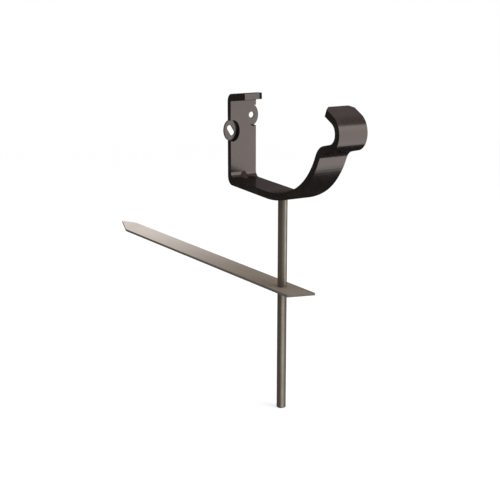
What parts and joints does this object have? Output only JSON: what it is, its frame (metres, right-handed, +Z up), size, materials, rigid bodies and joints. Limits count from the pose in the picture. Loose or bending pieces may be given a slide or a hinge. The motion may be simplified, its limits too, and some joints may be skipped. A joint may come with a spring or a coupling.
{
  "type": "gutter bracket",
  "caption": "Rise-and-fall gutter bracket: a folded steel cradle with a hooked front on a round rod that passes through a flat drive-in spike.",
  "frame": {"origin": "on the back face of the cradle's strap, on its middle line, halfway in height between the two screw holes", "axes": "+X out from the fascia towards the hook, +Y along the gutter, +Z up"},
  "size_m": [0.3936, 0.0578, 0.2731],
  "materials": {
    "cradle_strap": "gloss dark brown powder coat",
    "rod": "drawn, plain",
    "spike": "brushed along its length"
  },
  "bodies": {
    "root": {"cradle_strap": "cradle_strap", "rod": "rod", "spike": "spike"}
  },
  "joints": []
}
